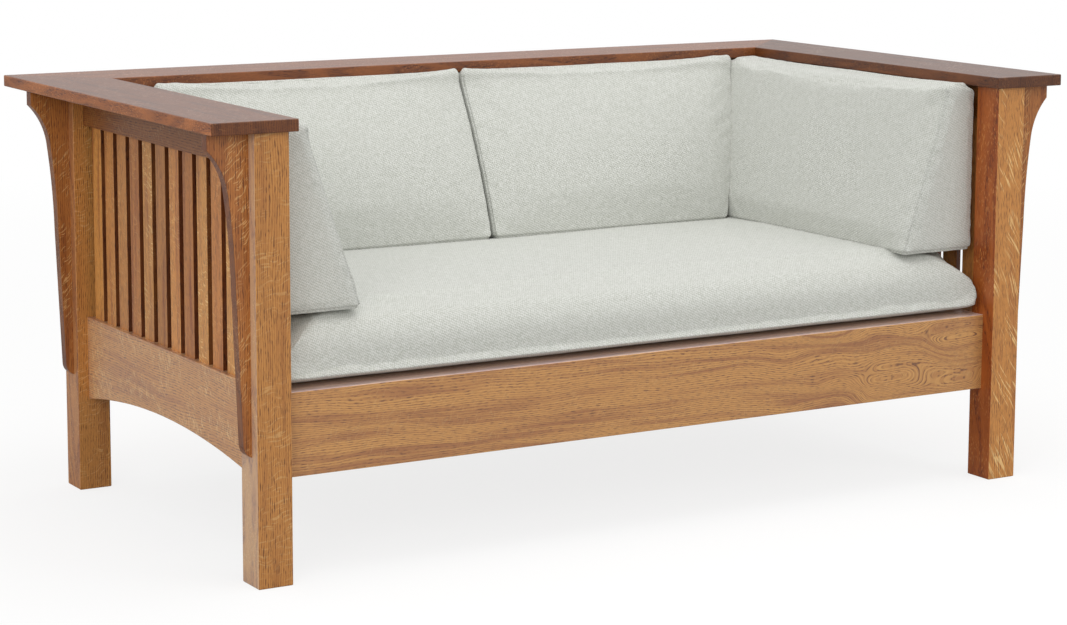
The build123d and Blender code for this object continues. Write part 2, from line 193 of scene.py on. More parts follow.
@dataclass(frozen=True)
class Board:
    """How one board was sawn from the log, which sets what its faces show.

    The grain runs along one axis and the growth rings are stacked along another. Taper and lumps bend the
    rings, so that a flat face shows arches and swirls. The pitch, where there is one, is from one slat of a
    node to the next. Sizes are in millimetres, and the other values are shares.
    """

    grain: Axis
    rings: Axis
    seed: int
    tone: float = 0.0
    red: float = 0.0
    painted_sheen: float = 0.0
    edge: Edge | None = None
    ring_width: float = 4.5
    taper: float = 0.0
    wander: float = 7.0
    lumps: float = 0.0
    lumps_from: float = 0.0
    fleck_amount: float = 0.6
    fleck_slant: float = 62.0
    fleck_scale: float = 1.0
    streak_amount: float = 0.5
    pitch: float = 0.0


@dataclass(frozen=True)
class Cloud:
    """A cloud pattern that is cut to a mask: its cell each way, and where the mask starts and is full.

    The cell is in millimetres, across the rays, across the rings and along the grain. The shift keeps the
    patterns apart.
    """

    cell: tuple[float, float, float]
    start: float
    full: float
    detail: float = 1.0
    shift: float = 0.0


# The pores are long along the grain. Real ones are 0.3 mm wide, and they are drawn wider, so that they show.
PORES = Cloud((1.25, 1.25, 12), 0.5, 0.66)
# The trunk's slow wander, its lumps, and the length over which the lumps set in.
WANDER = Cloud((85, 85, 380), 0.2, 0.8, 2.0, 3.0)
LUMPS = Cloud((60, 60, 150), 0.3, 0.75, 0.5, 11.0)
LUMPS_SET_IN = 260
# The parts of a board where its rays show, and the broad streaks of years when the tree grew otherwise.
PATCHES = Cloud((60, 45, 90), 0.35, 0.6, 1.0, 17.0)
STREAKS = Cloud((52, 13, 260), 0.45, 0.75, 2.5, 29.0)
PITH_DEPTH = -420.0
# How far apart the patterns of two seeds lie, and over what length of log a node's slats were cut.
SEED_STEP = 7.31
SLATS_SPREAD = 4000.0
# How squarely a face looks along an edge's axis where the edge's tint starts, and where it is full.
EDGE_STARTS, EDGE_FULL = 0.6, 0.8
# How open the wood is through one year: it opens at once in spring and closes towards the summer.
SEASON = ((0.0, 0.25), (0.12, 1.0), (0.42, 0.75), (0.7, 0.0), (1.0, 0.25))


@dataclass
class OakFinish:
    """Solid oak: pores, rings and rays run through the wood, so that every face shows its own cut of them.

    A point of the wood has three places, in millimetres: across the rays, across the rings and along the
    grain.
    """

    stain: OakStain
    board: Board
    centre: tuple[float, float, float]
    fleck_length: float = 17.0
    fleck_width: float = 2.6
    fleck_depth: float = 3.0
    fleck_bend: float = 7.0
    fleck_gloss: float = 0.1
    bump_depth: float = 0.25
    tree: Tree = field(init=False)
    places: list[Socket] = field(init=False)

    def material(self, name: str) -> bpy.types.Material:
        """Build the material for one board.

        Args:
            name: The name of the piece that the board became.

        Returns:
            The material.
        """
        material, self.tree = new_material(f"{self.stain.name} {name}")
        self.places = self.wood_space()
        rings = self.ring_distance()
        early = self.earlywood(rings)
        pores, flecks = self.pores(rings, early), self.flecks()
        colour = self.colour({self.stain.earlywood: early, self.stain.streaks: self.streaks(rings),
                              self.stain.flecks: flecks, self.stain.pores: pores})
        gloss = add_node(self.tree, "MapRange", {"Value": flecks, "To Min": self.stain.roughness,
                                                 "To Max": self.stain.roughness - self.fleck_gloss})
        bump = add_node(self.tree, "Bump", {"Strength": 0.5, "Distance": self.bump_depth * MM,
                                            "Height": pores}, invert=True)
        shader = add_node(self.tree, "BsdfPrincipled", {
            "Base Color": colour, "Roughness": gloss[0], "IOR": 1.5, "Specular IOR Level": 0.35,
            "Coat Weight": self.stain.coat, "Coat Roughness": self.stain.coat_roughness, "Normal": bump[0]})
        add_node(self.tree, "OutputMaterial", {"Surface": shader[0]})
        return material

    def wood_space(self) -> list[Socket]:
        """Measure a point from the board's middle along the wood's own directions.

        Returns:
            Its three places.
        """
        tree, board = self.tree, self.board
        where = add_node(tree, "TexCoord")
        middle = add_node(tree, "VectorMath", {0: where["Object"], 1: self.centre}, operation="SUBTRACT")
        sized = add_node(tree, "VectorMath", {0: middle[0], "Scale": 1 / MM}, operation="SCALE")
        parts = add_node(tree, "SeparateXYZ", {0: sized[0]})
        grain, rings = board.grain.value, board.rings.value
        places = [parts[3 - grain - rings], parts[rings], parts[grain]]
        if board.pitch:
            index = add_node(tree, "Math", {0: places[0], 1: board.pitch}, operation="DIVIDE")
            whole = add_node(tree, "Math", {0: index[0]}, operation="ROUND")
            chance = add_node(tree, "TexWhiteNoise", {"W": whole[0]}, noise_dimensions="1D")
            places[2] = add_node(tree, "Math", {0: chance["Value"], 1: SLATS_SPREAD, 2: places[2]},
                                 operation="MULTIPLY_ADD")[0]
        return places

    def mask(self, cloud: Cloud, places: list[Socket] | None = None) -> Socket:
        """Draw a cloud pattern and cut it to a mask.

        Args:
            cloud: The pattern.
            places: The three places of a point, where they aren't the wood's plain ones.

        Returns:
            The mask, from 0 to 1.
        """
        joined = add_node(self.tree, "CombineXYZ", dict(enumerate(places or self.places)))
        shift = self.board.seed * SEED_STEP + cloud.shift
        scaled = add_node(self.tree, "VectorMath", {0: joined[0], 1: [1 / size for size in cloud.cell],
                                                    2: [shift] * 3}, operation="MULTIPLY_ADD")
        drawn = add_node(self.tree, "TexNoise", {"Vector": scaled[0], "Scale": 1.0, "Detail": cloud.detail})
        return add_node(self.tree, "MapRange", {"Value": drawn[0], "From Min": cloud.start,
                                                "From Max": cloud.full}, interpolation_type="SMOOTHSTEP")[0]

    def ring_distance(self) -> Socket:
        """Find how far a point lies from the log's pith, with the wander of a real trunk.

        Returns:
            The distance, in millimetres.
        """
        tree, board = self.tree, self.board
        side, depth, along = self.places
        moved = add_node(tree, "Math", {0: self.mask(WANDER), 1: 2 * board.wander, 2: depth},
                         operation="MULTIPLY_ADD")
        if board.lumps:
            size = add_node(tree, "MapRange", {
                "Value": along, "From Min": board.lumps_from, "From Max": board.lumps_from + LUMPS_SET_IN,
                "To Max": board.lumps}, interpolation_type="SMOOTHSTEP")
            moved = add_node(tree, "Math", {0: self.mask(LUMPS), 1: size[0], 2: moved[0]},
                             operation="MULTIPLY_ADD")
        tapered = add_node(tree, "Math", {0: along, 1: board.taper, 2: moved[0]}, operation="MULTIPLY_ADD")
        from_pith = add_node(tree, "Math", {0: tapered[0], 1: PITH_DEPTH}, operation="SUBTRACT")
        joined = add_node(tree, "CombineXYZ", {0: side, 1: from_pith[0]})
        return add_node(tree, "VectorMath", {0: joined[0]}, operation="LENGTH")["Value"]

    def earlywood(self, rings: Socket) -> Socket:
        """Mark the open wood of each spring.

        Args:
            rings: The distance from the pith.

        Returns:
            The mask, from 0 to 1.
        """
        years = add_node(self.tree, "Math", {0: rings, 1: self.board.ring_width}, operation="DIVIDE")
        season = add_node(self.tree, "Math", {0: years[0]}, operation="FRACT")
        ramp = add_node(self.tree, "ValToRGB", {0: season[0]})
        stops = ramp[0].node.color_ramp.elements
        for place, _ in SEASON[1:-1]:
            stops.new(place)
        for stop, (place, value) in zip(stops, SEASON):
            stop.position, stop.color = place, (value, value, value, 1)
        return ramp[0]

    def pores(self, rings: Socket, early: Socket) -> Socket:
        """Mark the pores, most of which are in the open wood.

        Args:
            rings: The distance from the pith.
            early: The mask of the open wood.

        Returns:
            The mask, from 0 to 1.
        """
        dashes = self.mask(PORES, [self.places[0], rings, self.places[2]])
        kept = add_node(self.tree, "MapRange", {"Value": early, "To Min": 0.15, "To Max": 1.0})
        return add_node(self.tree, "Math", {0: dashes, 1: kept[0]}, operation="MULTIPLY")[0]

    def flecks(self) -> Socket:
        """Mark the rays, which stand as ribbons on a quartered face and as short ticks on the others.

        Returns:
            The mask, from 0 to 1.
        """
        tree, (side, depth, along) = self.tree, self.places
        slant, scale = math.radians(self.board.fleck_slant), self.board.fleck_scale
        turned = []
        for by_depth, by_along in ((math.cos(slant), -math.sin(slant)), (math.sin(slant), math.cos(slant))):
            share = add_node(tree, "Math", {0: along, 1: by_along}, operation="MULTIPLY")
            turned.append(add_node(tree, "Math", {0: depth, 1: by_depth, 2: share[0]},
                                   operation="MULTIPLY_ADD")[0])
        # Larger flecks are longer by their whole scale, and they bend and widen less than that.
        sway = self.mask(Cloud((40, 18 * scale, 24 * scale), 0.2, 0.8, 0.0, 41.0))
        bent = add_node(tree, "Math", {0: sway, 1: self.fleck_bend * scale ** 0.6, 2: turned[0]},
                        operation="MULTIPLY_ADD")
        size = (self.fleck_depth, self.fleck_width * scale ** 0.3, self.fleck_length * scale)
        ribbons = self.mask(Cloud(size, 0.57, 0.65, 1.0, 5.0), [side, bent[0], turned[1]])
        shown = add_node(tree, "Math", {0: ribbons, 1: self.mask(PATCHES)}, operation="MULTIPLY")
        return add_node(tree, "Math", {0: shown[0], 1: self.board.fleck_amount}, operation="MULTIPLY")[0]

    def streaks(self, rings: Socket) -> Socket:
        """Mark the broad darker streaks.

        Args:
            rings: The distance from the pith.

        Returns:
            The mask, from 0 to 1.
        """
        bands = self.mask(STREAKS, [self.places[0], rings, self.places[2]])
        return add_node(self.tree, "Math", {0: bands, 1: self.board.streak_amount}, operation="MULTIPLY")[0]

    def colour(self, layers: dict[str, Socket]) -> Socket:
        """Lay the stained colours of the wood's parts over each other, and the painted sheen over them.

        Args:
            layers: The mask of each colour, in the order that they are laid.

        Returns:
            The colour.
        """
        tree, board = self.tree, self.board
        colour: Socket | Colour = shaded(self.stain.latewood, board.tone, board.red)
        for over, mask in layers.items():
            over_colour = shaded(over, board.tone, board.red)
            colour = add_node(tree, "Mix", {0: mask, 6: colour, 7: over_colour}, data_type="RGBA")[2]
        # Painted sheen: a share of a pale colour mixed over the whole board.
        if board.painted_sheen:
            colour = add_node(tree, "Mix", {0: board.painted_sheen, 6: colour, 7: linear(PAINTED_SHEEN_COLOUR)},
                              data_type="RGBA")[2]
        return self.edges(colour, board.edge) if board.edge else colour

    def edges(self, colour: Socket, edge: Edge) -> Socket:
        """Give the board's edges their own tint, of stain or of painted light or shade, and their painted
        sheen.

        Args:
            colour: The colour of the broad faces.
            edge: The edges' look.

        Returns:
            The colour of all faces.
        """
        tree = self.tree
        facing = add_node(tree, "TexCoord")
        sizes = add_node(tree, "VectorMath", {0: facing["Normal"]}, operation="ABSOLUTE")
        parts = add_node(tree, "SeparateXYZ", {0: sizes[0]})
        mask = add_node(tree, "MapRange", {"Value": parts[edge.facing.value], "From Min": EDGE_STARTS,
                                           "From Max": EDGE_FULL})
        tint = shaded("#ffffff", edge.tone, edge.red)
        tinted = add_node(tree, "Mix", {0: mask[0], 6: colour, 7: tint}, data_type="RGBA",
                          blend_type="MULTIPLY")
        # Painted sheen on the edge faces.
        painted_sheen_mask = add_node(tree, "Math", {0: mask[0], 1: edge.painted_sheen}, operation="MULTIPLY")
        return add_node(tree, "Mix", {0: painted_sheen_mask[0], 6: tinted[2], 7: linear(PAINTED_SHEEN_COLOUR)}, data_type="RGBA")[2]


@dataclass(frozen=True)
class ZincFinish:
    """Steel wood screws with a bright zinc plating, which is a pale metal a little clouded by handling."""

    colour: str = "#b9bcc0"
    roughness: float = 0.34
    cloud_size: float = 2.5

    def material(self) -> bpy.types.Material:
        """Build the material.

        Returns:
            The material.
        """
        material, tree = new_material("zinc plated steel")
        where = add_node(tree, "TexCoord")
        cloud = add_node(tree, "TexNoise", {"Vector": where["Object"], "Scale": 1 / (self.cloud_size * MM),
                                            "Detail": 2.0})
        gloss = add_node(tree, "MapRange", {"Value": cloud[0], "To Min": self.roughness - 0.08,
                                            "To Max": self.roughness + 0.12})
        tint = add_node(tree, "Mix", {0: cloud[0], 6: shaded(self.colour, -0.12), 7: linear(self.colour)},
                        data_type="RGBA")
        shader = add_node(tree, "BsdfPrincipled", {"Base Color": tint[2], "Metallic": 1.0,
                                                   "Roughness": gloss[0]})
        add_node(tree, "OutputMaterial", {"Surface": shader[0]})
        return material


@dataclass
class HopsackFinish:
    """A hopsack upholstery cloth, woven from pale grey and white slubbed yarns on the diagonal.

    It gives the eye fine slanting ribs with small light and grey dots, a soft sheen at the edges, and a thin
    shaded line where two panels are stitched. Real ribs are 1 to 2 mm apart, and they are drawn 4 mm apart,
    so that they show.
    """

    light: str = "#d6d7d2"
    light_at: float = 1.25 / 1.3
    middle: str = "#cbccc6"
    middle_at: float = 0.62
    hollow: str = "#b2b4ab"
    hollow_at: float = 0.35
    # Painted shade along the seams, mixed in by the seam mask.
    seam_shade_colour: str = "#6f716b"
    seam_shade: float = 0.4
    rib_spacing: float = 4.0
    cross_spacing: float = 3.2
    rib_angle: float = -27.0
    cross_angle: float = 58.0
    cross_share: float = 0.45
    yarn_length: float = 9.0
    yarn_sway: float = 2.4
    slub_share: float = 0.3
    end_facing: float = 0.75
    top_facing: float = 0.7
    roughness: float = 0.92
    sheen: float = 0.18
    relief: float = 0.5
    tree: Tree = field(init=False)
    where: bpy.types.NodeOutputs = field(init=False)

    def material(self) -> bpy.types.Material:
        """Build the material.

        Returns:
            The material.
        """
        material, self.tree = new_material("woven hopsack cloth")
        tree, self.where = self.tree, add_node(self.tree, "TexCoord")
        level, rise = self.cloth_space()
        ribs = self.yarns(level, rise, self.rib_spacing, self.rib_angle)
        crosses = self.yarns(level, rise, self.cross_spacing, self.cross_angle)
        weave = add_node(tree, "Mix", {0: self.cross_share, 2: ribs, 3: crosses}, data_type="FLOAT")
        calm = add_node(tree, "MapRange", {"Value": weave[0], "To Min": 0.28, "To Max": 0.82})
        shade = add_node(tree, "Math", {0: self.slubs(), 1: calm[0]}, operation="ADD")
        ramp = add_node(tree, "ValToRGB", {0: shade[0]})
        stops = ramp[0].node.color_ramp.elements
        stops[0].position, stops[0].color = self.hollow_at, linear(self.hollow)
        stops[1].position, stops[1].color = self.light_at, linear(self.light)
        stops.new(self.middle_at).color = linear(self.middle)
        # Painted shade along the seams.
        painted_seam_shade = add_node(tree, "Attribute", attribute_name="painted_seam_shade")
        shadow = add_node(tree, "Math", {0: painted_seam_shade["Fac"], 1: self.seam_shade}, operation="MULTIPLY")
        colour = add_node(tree, "Mix", {0: shadow[0], 6: ramp[0], 7: linear(self.seam_shade_colour)}, data_type="RGBA")
        bump = add_node(tree, "Bump", {"Strength": 0.6, "Distance": self.relief * MM, "Height": weave[0]})
        shader = add_node(tree, "BsdfPrincipled", {
            "Base Color": colour[2], "Roughness": self.roughness, "Sheen Weight": self.sheen,
            "Sheen Roughness": 0.5, "Specular IOR Level": 0.25, "Normal": bump[0]})
        add_node(tree, "OutputMaterial", {"Surface": shader[0]})
        return material

    def cloth_space(self) -> tuple[Socket, Socket]:
        """Lay the cloth flat on the side that a point of the cover belongs to.

        Returns:
            The place along the cloth and the place up it, in millimetres.
        """
        tree, where = self.tree, self.where
        sized = add_node(tree, "VectorMath", {0: where["Object"], "Scale": 1 / MM}, operation="SCALE")
        point = add_node(tree, "SeparateXYZ", {0: sized[0]})
        facing = add_node(tree, "VectorMath", {0: where["Normal"]}, operation="ABSOLUTE")
        parts = add_node(tree, "SeparateXYZ", {0: facing[0]})
        is_end = add_node(tree, "Math", {0: parts[0], 1: self.end_facing}, operation="GREATER_THAN")
        is_top = add_node(tree, "Math", {0: parts[2], 1: self.top_facing}, operation="GREATER_THAN")
        level = add_node(tree, "Mix", {0: is_end[0], 2: point[0], 3: point[1]}, data_type="FLOAT")
        rise = add_node(tree, "Mix", {0: is_top[0], 2: point[2], 3: point[1]}, data_type="FLOAT")
        return level[0], rise[0]

    def yarns(self, level: Socket, rise: Socket, spacing: float, angle: float) -> Socket:
        """Lay one set of yarns side by side.

        Args:
            level: The place along the cloth.
            rise: The place up the cloth.
            spacing: The distance from one yarn to the next, in millimetres.
            angle: The way that the yarns run, in degrees above the level.

        Returns:
            The yarns' height, from 0 to 1.
        """
        tree, turn = self.tree, 2 * math.pi / spacing
        by_level, by_rise = -math.sin(math.radians(angle)), math.cos(math.radians(angle))
        sway = add_node(tree, "TexNoise", {"Vector": self.where["Object"],
                                           "Scale": 1 / (self.yarn_length * MM)})
        bent = add_node(tree, "Math", {0: sway[0], 1: self.yarn_sway, 2: level}, operation="MULTIPLY_ADD")
        first = add_node(tree, "Math", {0: bent[0], 1: by_level * turn}, operation="MULTIPLY")
        both = add_node(tree, "Math", {0: rise, 1: by_rise * turn, 2: first[0]}, operation="MULTIPLY_ADD")
        wave = add_node(tree, "Math", {0: both[0]}, operation="SINE")
        return add_node(tree, "MapRange", {"Value": wave[0], "From Min": -1.0})[0]

    def slubs(self) -> Socket:
        """Scatter the yarn's thick pale and thin grey stretches.

        Returns:
            How much paler than the rest a point is, about 0 either way.
        """
        sizes = ((0.5 * self.cross_spacing, 0.0), (self.yarn_length, 1.0))
        fine, broad = (add_node(self.tree, "TexNoise", {"Vector": self.where["Object"],
                                                        "Scale": 1 / (size * MM), "Detail": detail})
                       for size, detail in sizes)
        both = add_node(self.tree, "Math", {0: broad[0], 1: self.slub_share, 2: fine[0]},
                        operation="MULTIPLY_ADD")
        return add_node(self.tree, "MapRange", {"Value": both[0], "From Min": 0.35, "From Max": 0.95,
                                                "To Min": -0.3, "To Max": 0.3})[0]


@dataclass(frozen=True)
class Plan:
    """A cushion's outline at one height, in millimetres across and through the settle."""

    x0: float
    x1: float
    y0: float
    y1: float


@dataclass(frozen=True)
class Turn:
    """How far the turn at an edge reaches in along each of a cushion's four sides, in millimetres."""

    x0: float
    x1: float
    y0: float
    y1: float


def turned(hand: Hand, reach: tuple[float, float, float]) -> Turn:
    """A turn at one end of the settle, from its reach on the sitter's side, away from it and at the ends."""
    inner, outer, ends = reach
    return Turn(inner, outer, ends, ends) if hand is Hand.RIGHT else Turn(outer, inner, ends, ends)


def share_of(value: float, start: float, end: float) -> float:
    """How far a value has gone from a start to an end, kept from 0 to 1."""
    return max(0.0, min(1.0, (value - start) / (end - start)))


# How the cover behaves as cloth while it is filled, the frames that this takes, how firmly the seams are
# held, and how far the folds of two seeds lie apart each way.
CLOTH = {"quality": 4, "mass": 0.25, "tension_stiffness": 18, "compression_stiffness": 18,
         "shear_stiffness": 8, "bending_stiffness": 0.4, "use_pressure": True}
SIMULATED_FRAMES = 20
SEAM_HOLD = 0.75
FOLD_STEPS = (3.7, 1.9, 5.3)
# How squarely a face must look along an axis to count as facing that way.
FACES = 0.6


@dataclass
class Cushion:
    """A foam core in a sewn cover, made as a shell of panels and then filled as cloth.

    A station is one line of the cover's mesh along a direction. It has a turn, from -1 to 1, which says how
    far it has gone round the edge at either end, and a share, which says how far along the flat stretch it
    lies.
    """

    fabric: bpy.types.Material
    node: str
    body: str
    seed: int = 0
    spacing: float = 9.0
    turn_steps: int = 3
    corner: Turn = field(default_factory=lambda: Turn(11, 11, 11, 11))
    foot: Turn = field(default_factory=lambda: Turn(12, 12, 12, 12))
    roll: Turn = field(default_factory=lambda: Turn(12, 12, 12, 12))
    foot_rise: float = 12.0
    roll_rise: float = 18.0
    pressure: float = 4.0
    swell_limit: float = 9.0
    slack: float = 0.006
    under_size: float = 2.0
    seam_depth: float = 3.2
    pucker: float = 0.9
    pucker_length: float = 17.0
    pucker_reach: float = 24.0
    seam_shade_width: float = 3.0
    sag: float = 1.3
    sag_length: float = 170.0
    fill: float = 0.85
    lift: float = 0.0
    spill_low: tuple[float, float, float] = (0.0, 0.0, 0.0)
    spill_high: tuple[float, float, float] = (0.0, 0.0, 0.0)

    def __post_init__(self) -> None:
        """Read the place that the frame holds for the cushion."""
        low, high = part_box(self.node)
        self.low, self.high = low / MM, high / MM
        self.top = self.high.z - self.lift

    def outline(self, height: float) -> Plan:
        """The outline at a height, without its crown: the whole place on a plain cushion."""
        return Plan(self.low.x, self.high.x, self.low.y, self.high.y)

    def crown(self, spot: Vector, facing: Vector, shares: Vector) -> Vector:
        """How far the filling pushes a point out: nothing on a plain cushion."""
        return Vector()

    def is_seam(self, turns: tuple[float, float, float]) -> bool:
        """Whether two panels meet here, as they do along every edge of a plain cushion."""
        return sum(abs(turn) == 1 for turn in turns) >= 2

    def is_held(self, facing: Vector) -> bool:
        """Whether the cover lies on what carries the cushion."""
        return facing.z < -FACES

    def stations(self, length: float) -> list[tuple[float, float]]:
        """List the stations along one direction.

        Args:
            length: The cushion's length that way, in millimetres.

        Returns:
            Each station's turn and share.
        """
        count = max(2, round(length / self.spacing))
        steps = range(1, self.turn_steps + 1)
        start = [(-step / self.turn_steps, 0.0) for step in reversed(steps)]
        flat = [(0.0, place / count) for place in range(count + 1)]
        return start + flat + [(step / self.turn_steps, 1.0) for step in steps]

    def place(self, across: tuple[float, float], through: tuple[float, float],
              up: tuple[float, float]) -> tuple[Vector, Vector]:
        """Put one point of the cover in its place.

        Args:
            across: The station across the settle.
            through: The station through its depth.
            up: The station up.

        Returns:
            The point and the way that the cover faces there.
        """
        turns = [math.tan(turn * math.pi / 4) for turn, _ in (across, through, up)]
        facing = Vector(turns).normalized()
        rise = self.roll_rise if facing.z > 0 else self.foot_rise
        flat = self.top - self.low.z - self.foot_rise - self.roll_rise
        turn = self.turn_at(up[0])
        swung = self.swing(turns, facing, turn)
        z = self.low.z + self.foot_rise + up[1] * flat + rise * swung.z
        plan = self.outline(z)
        x = plan.x0 + turn.x0 + across[1] * (plan.x1 - plan.x0 - turn.x0 - turn.x1)
        x += (turn.x1 if facing.x > 0 else turn.x0) * swung.x
        y = plan.y0 + turn.y0 + through[1] * (plan.y1 - plan.y0 - turn.y0 - turn.y1)
        y += (turn.y1 if facing.y > 0 else turn.y0) * swung.y
        shares = Vector(((x - plan.x0) / (plan.x1 - plan.x0), (y - plan.y0) / (plan.y1 - plan.y0),
                         (z - self.low.z) / (self.high.z - self.low.z)))
        spot = Vector((x, y, z))
        return spot + self.crown(spot, facing, shares), facing

    def swing(self, turns: list[float], facing: Vector, turn: Turn) -> Vector:
        """How far a point has swung round its edge each way, as shares of the turn: a plain edge is round."""
        return facing

    def turn_at(self, up_turn: float) -> Turn:
        """The reach of the upright edges' turns, which grows into the foot's or the roll's.

        Args:
            up_turn: How far the point has gone round the foot, down to -1, or the roll, up to 1.

        Returns:
            The reach on each side.
        """
        end, share = (self.roll if up_turn > 0 else self.foot), abs(up_turn)
        reach = [getattr(self.corner, side) * (1 - share) + getattr(end, side) * share
                 for side in ("x0", "x1", "y0", "y1")]
        return Turn(*reach)

    def shell(self) -> tuple[bpy.types.Object, list[int], list[int]]:
        """Cut and join the cover's panels.

        Returns:
            The cover, its seam points and the points that are held.
        """
        lines = [self.stations(self.high[way] - self.low[way]) for way in range(3)]
        last = [len(line) - 1 for line in lines]
        mesh, points, seams, held = bmesh.new(), {}, [], []

        def point(i: int, j: int, k: int) -> bmesh.types.BMVert:
            """Give the mesh point at three stations, made when it is first asked for.

            Args:
                i: The number of the station across the settle.
                j: The number of the station through its depth.
                k: The number of the station up.

            Returns:
                The point.
            """
            if (i, j, k) not in points:
                stations = lines[0][i], lines[1][j], lines[2][k]
                spot, facing = self.place(*stations)
                spot -= Vector((facing.x, facing.y, max(0.0, facing.z))) * self.under_size
                index = len(points)
                points[i, j, k] = mesh.verts.new(spot * MM)
                if self.is_seam(tuple(turn for turn, _ in stations)):
                    seams.append(index)
                if self.is_held(facing):
                    held.append(index)
            return points[i, j, k]

        for fixed in range(3):
            first, second = [way for way in range(3) if way != fixed]
            for end in (0, last[fixed]):
                for a in range(last[first]):
                    for b in range(last[second]):
                        corners = []
                        for step_a, step_b in ((0, 0), (1, 0), (1, 1), (0, 1)):
                            place = [0, 0, 0]
                            place[fixed], place[first], place[second] = end, a + step_a, b + step_b
                            corners.append(point(*place))
                        mesh.faces.new(corners)
        bmesh.ops.recalc_face_normals(mesh, faces=mesh.faces)
        data = bpy.data.meshes.new(self.node + "_cover")
        mesh.to_mesh(data)
        mesh.free()
        cover = bpy.data.objects.new(self.node + "_cover", data)
        bpy.context.scene.collection.objects.link(cover)
        return cover, seams, held

    def inflate(self, cover: bpy.types.Object, seams: list[int], held: list[int]) -> None:
        """Fill the cover as cloth under pressure, with its seams and what it lies on held.

        Args:
            cover: The sewn cover.
            seams: Its seam points.
            held: The points that lie on something.
        """
        rest = rows(cover.data.vertices, "co")
        group = cover.vertex_groups.new(name="held")
        group.add(seams, SEAM_HOLD, "REPLACE")
        group.add(held, 1.0, "REPLACE")
        modifier = cover.modifiers.new("filling", "CLOTH")
        cloth = modifier.settings
        for name, value in CLOTH.items():
            setattr(cloth, name, value)
        cloth.uniform_pressure_force = self.pressure
        cloth.effector_weights.gravity = 0
        cloth.shrink_min = -self.slack
        cloth.vertex_group_mass = "held"
        modifier.collision_settings.use_collision = False
        modifier.point_cache.frame_start, modifier.point_cache.frame_end = 1, SIMULATED_FRAMES
        for moment in range(1, SIMULATED_FRAMES + 1):
            bpy.context.scene.frame_set(moment)
        evaluated = cover.evaluated_get(bpy.context.evaluated_depsgraph_get())
        filled = rows(evaluated.data.vertices, "co")
        cover.modifiers.clear()
        bpy.context.scene.frame_set(1)
        moved = filled - rest
        length = np.linalg.norm(moved, axis=1, keepdims=True)
        moved *= np.minimum(1.0, self.swell_limit * MM / np.maximum(length, 1e-9))
        write_points(cover.data, rest + moved)

    def finish_cover(self, cover: bpy.types.Object, seams: list[int]) -> None:
        """Draw the seams in, smooth the cloth between them, and pucker it along them.

        Args:
            cover: The filled cover.
            seams: Its seam points.
        """
        data = cover.data
        points, normals = rows(data.vertices, "co"), rows(data.vertex_normals, "vector")
        seam_line = points[seams].copy()
        points[seams] -= normals[seams] * self.seam_depth * MM
        write_points(data, points)
        smooth = cover.modifiers.new("smooth", "SUBSURF")
        smooth.levels = smooth.render_levels = 1
        evaluated = cover.evaluated_get(bpy.context.evaluated_depsgraph_get())
        finer = bpy.data.meshes.new_from_object(evaluated)
        cover.modifiers.clear()
        cover.data = finer
        bpy.data.meshes.remove(data)
        points, normals = rows(finer.vertices, "co"), rows(finer.vertex_normals, "vector")
        # Painted shade along the seams: a mask that fades a few millimetres from them.
        seam_shade_mask = np.zeros(len(points), np.float32)
        tree = kdtree.KDTree(len(seam_line))
        for index, spot in enumerate(seam_line):
            tree.insert(spot, index)
        tree.balance()
        offset = Vector([self.seed * step for step in FOLD_STEPS])
        for index, spot in enumerate(points):
            near, _, distance = tree.find(spot)
            along = noise.noise(near / (self.pucker_length * MM) + offset)
            fading = math.exp(-(distance / (self.pucker_reach * MM)) ** 2)
            broad = noise.noise(Vector(spot) / (self.sag_length * MM) + offset)
            push = self.pucker * along * fading + self.sag * broad * (1 - fading)
            points[index] += normals[index] * push * MM
            seam_shade_mask[index] = math.exp(-(distance / (self.seam_shade_width * MM)) ** 2)
        write_points(finer, self.contained(points))
        finer.attributes.new("painted_seam_shade", "FLOAT", "POINT").data.foreach_set("value", seam_shade_mask)
        finer.polygons.foreach_set("use_smooth", [True] * len(finer.polygons))
        finer.update()

    def contained(self, points: np.ndarray) -> np.ndarray:
        """Keep the cover inside the room that the frame holds for it, and what the cloth may stand proud.

        Args:
            points: The cover's points, one row each, in metres.

        Returns:
            The kept points.
        """
        low = np.array(self.low) - np.array(self.spill_low)
        high = np.array(self.high) + np.array(self.spill_high)
        return np.clip(points, low * MM, high * MM)

    def build(self) -> None:
        """Make the cushion, dress it and put it on its body."""
        cover, seams, held = self.shell()
        self.inflate(cover, seams, held)
        self.finish_cover(cover, seams)
        cover.data.materials.clear()
        cover.data.materials.append(self.fabric)
        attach(cover, self.body)
        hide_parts(self.node)
        log.info("%s: %d points", cover.name, len(cover.data.vertices))


def rows(items: bpy.types.bpy_prop_collection, name: str) -> np.ndarray:
    """Read one vector of every item, one row each.

    Args:
        items: A mesh's points, or the normals there.
        name: The name of the items' vector.

    Returns:
        The rows.
    """
    values = np.empty(len(items) * 3, np.float32)
    items.foreach_get(name, values)
    return values.reshape(-1, 3).astype(float)


def write_points(data: bpy.types.Mesh, points: np.ndarray) -> None:
    """Put the mesh's points in new places, one row each."""
    data.vertices.foreach_set("co", points.astype(np.float32).ravel())
    data.update()


